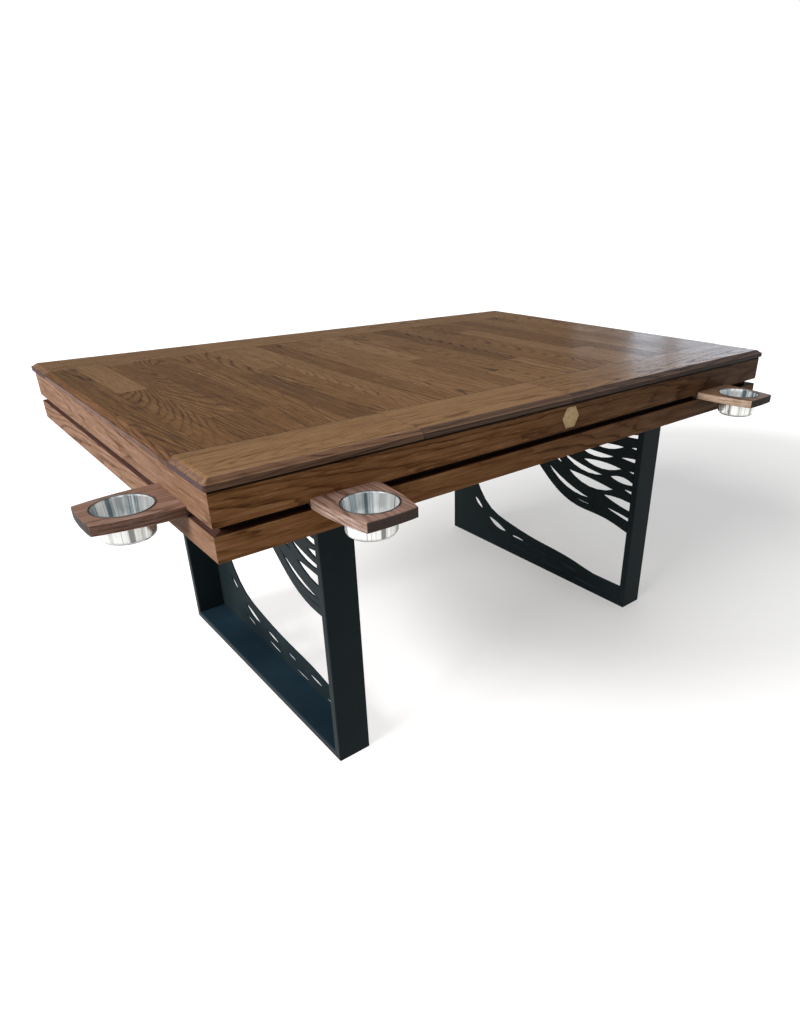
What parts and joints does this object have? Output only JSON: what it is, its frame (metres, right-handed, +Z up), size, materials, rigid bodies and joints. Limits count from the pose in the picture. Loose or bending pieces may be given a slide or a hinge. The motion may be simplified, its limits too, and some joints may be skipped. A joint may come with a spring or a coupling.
{
  "type": "board game table",
  "caption": "Rectangular wooden game table with lift-off cover leaves over a playing well, an accessory slot round the rim with sliding cup holders, and cut steel frame legs.",
  "frame": {"origin": "on the floor, under the centre of the whole outline", "axes": "+X along the table to the right, +Y across it to the back (the cup holders stand out at the front and at both ends), +Z up"},
  "size_m": [1.874, 1.227, 0.7755],
  "materials": {
    "oak_top": "oiled oak, satin",
    "oak_end_board": "oiled oak, satin",
    "oak_rail": "oiled oak, satin",
    "oak_frame": "oiled oak, matte",
    "oak_holder": "oiled oak, satin",
    "well_board": "birch plywood, clear lacquer",
    "mat_cloth": "stretch cloth, matte",
    "spacer_rubber": "matte",
    "leg_steel": "satin powder coat",
    "cup_steel": "polished stainless",
    "emblem_metal": "satin, plain"
  },
  "bodies": {
    "table": {"apron_front": "oak_frame", "apron_right": "oak_frame", "apron_back": "oak_frame", "apron_left": "oak_frame", "upper_rail_front": "oak_rail", "upper_rail_right": "oak_rail", "upper_rail_back": "oak_rail", "upper_rail_left": "oak_rail", "lower_rail_front": "oak_rail", "lower_rail_right": "oak_rail", "lower_rail_back": "oak_rail", "lower_rail_left": "oak_rail", "cover_spacers": "spacer_rubber", "bearer_left": "oak_frame", "bearer_middle": "oak_frame", "bearer_right": "oak_frame", "well_floor": "well_board", "play_mat": "mat_cloth", "emblem": "emblem_metal", "leg_left_bottom_bar": "leg_steel", "leg_left_back_post": "leg_steel", "leg_left_top_bar": "leg_steel", "leg_left_front_post": "leg_steel", "leg_left_fret_upper": "leg_steel", "leg_left_fret_lower": "leg_steel", "leg_right_bottom_bar": "leg_steel", "leg_right_back_post": "leg_steel", "leg_right_top_bar": "leg_steel", "leg_right_front_post": "leg_steel", "leg_right_fret_upper": "leg_steel", "leg_right_fret_lower": "leg_steel"},
    "leaf_1": {"leaf_1_field": "oak_top", "leaf_1_end_front": "oak_end_board", "leaf_1_end_back": "oak_end_board", "leaf_1_battens": "oak_frame"},
    "leaf_2": {"leaf_2_field": "oak_top", "leaf_2_end_front": "oak_end_board", "leaf_2_end_back": "oak_end_board", "leaf_2_battens": "oak_frame"},
    "leaf_3": {"leaf_3_field": "oak_top", "leaf_3_end_front": "oak_end_board", "leaf_3_end_back": "oak_end_board", "leaf_3_battens": "oak_frame"},
    "leaf_4": {"leaf_4_field": "oak_top", "leaf_4_end_front": "oak_end_board", "leaf_4_end_back": "oak_end_board", "leaf_4_battens": "oak_frame"},
    "holder_a": {"holder_a": "oak_holder"},
    "holder_b": {"holder_b": "oak_holder"},
    "holder_c": {"holder_c": "oak_holder"},
    "holder_d": {"holder_d": "oak_holder"},
    "cup_a": {"cup_a": "cup_steel"},
    "cup_b": {"cup_b": "cup_steel"},
    "cup_c": {"cup_c": "cup_steel"},
    "cup_d": {"cup_d": "cup_steel"}
  },
  "joints": [
    {"name": "leaf_1_lift", "type": "slide", "parent": "table", "child": "leaf_1", "axis": [0, 0, 1], "range_m": [0, 0.25]},
    {"name": "leaf_2_lift", "type": "slide", "parent": "table", "child": "leaf_2", "axis": [0, 0, 1], "range_m": [0, 0.25]},
    {"name": "leaf_3_lift", "type": "slide", "parent": "table", "child": "leaf_3", "axis": [0, 0, 1], "range_m": [0, 0.25]},
    {"name": "leaf_4_lift", "type": "slide", "parent": "table", "child": "leaf_4", "axis": [0, 0, 1], "range_m": [0, 0.25]},
    {"name": "holder_a_slide", "type": "slide", "parent": "table", "child": "holder_a", "axis": [0, 1, 0], "range_m": [-0.06, 0.81]},
    {"name": "holder_b_slide", "type": "slide", "parent": "table", "child": "holder_b", "axis": [1, 0, 0], "range_m": [-0.13, 0.47]},
    {"name": "holder_c_slide", "type": "slide", "parent": "table", "child": "holder_c", "axis": [1, 0, 0], "range_m": [-0.47, 0.13]},
    {"name": "holder_d_slide", "type": "slide", "parent": "table", "child": "holder_d", "axis": [0, 1, 0], "range_m": [-0.06, 0.81]},
    {"name": "cup_a_lift", "type": "slide", "parent": "holder_a", "child": "cup_a", "axis": [0, 0, 1], "range_m": [0, 0.09]},
    {"name": "cup_b_lift", "type": "slide", "parent": "holder_b", "child": "cup_b", "axis": [0, 0, 1], "range_m": [0, 0.09]},
    {"name": "cup_c_lift", "type": "slide", "parent": "holder_c", "child": "cup_c", "axis": [0, 0, 1], "range_m": [0, 0.09]},
    {"name": "cup_d_lift", "type": "slide", "parent": "holder_d", "child": "cup_d", "axis": [0, 0, 1], "range_m": [0, 0.09]}
  ]
}
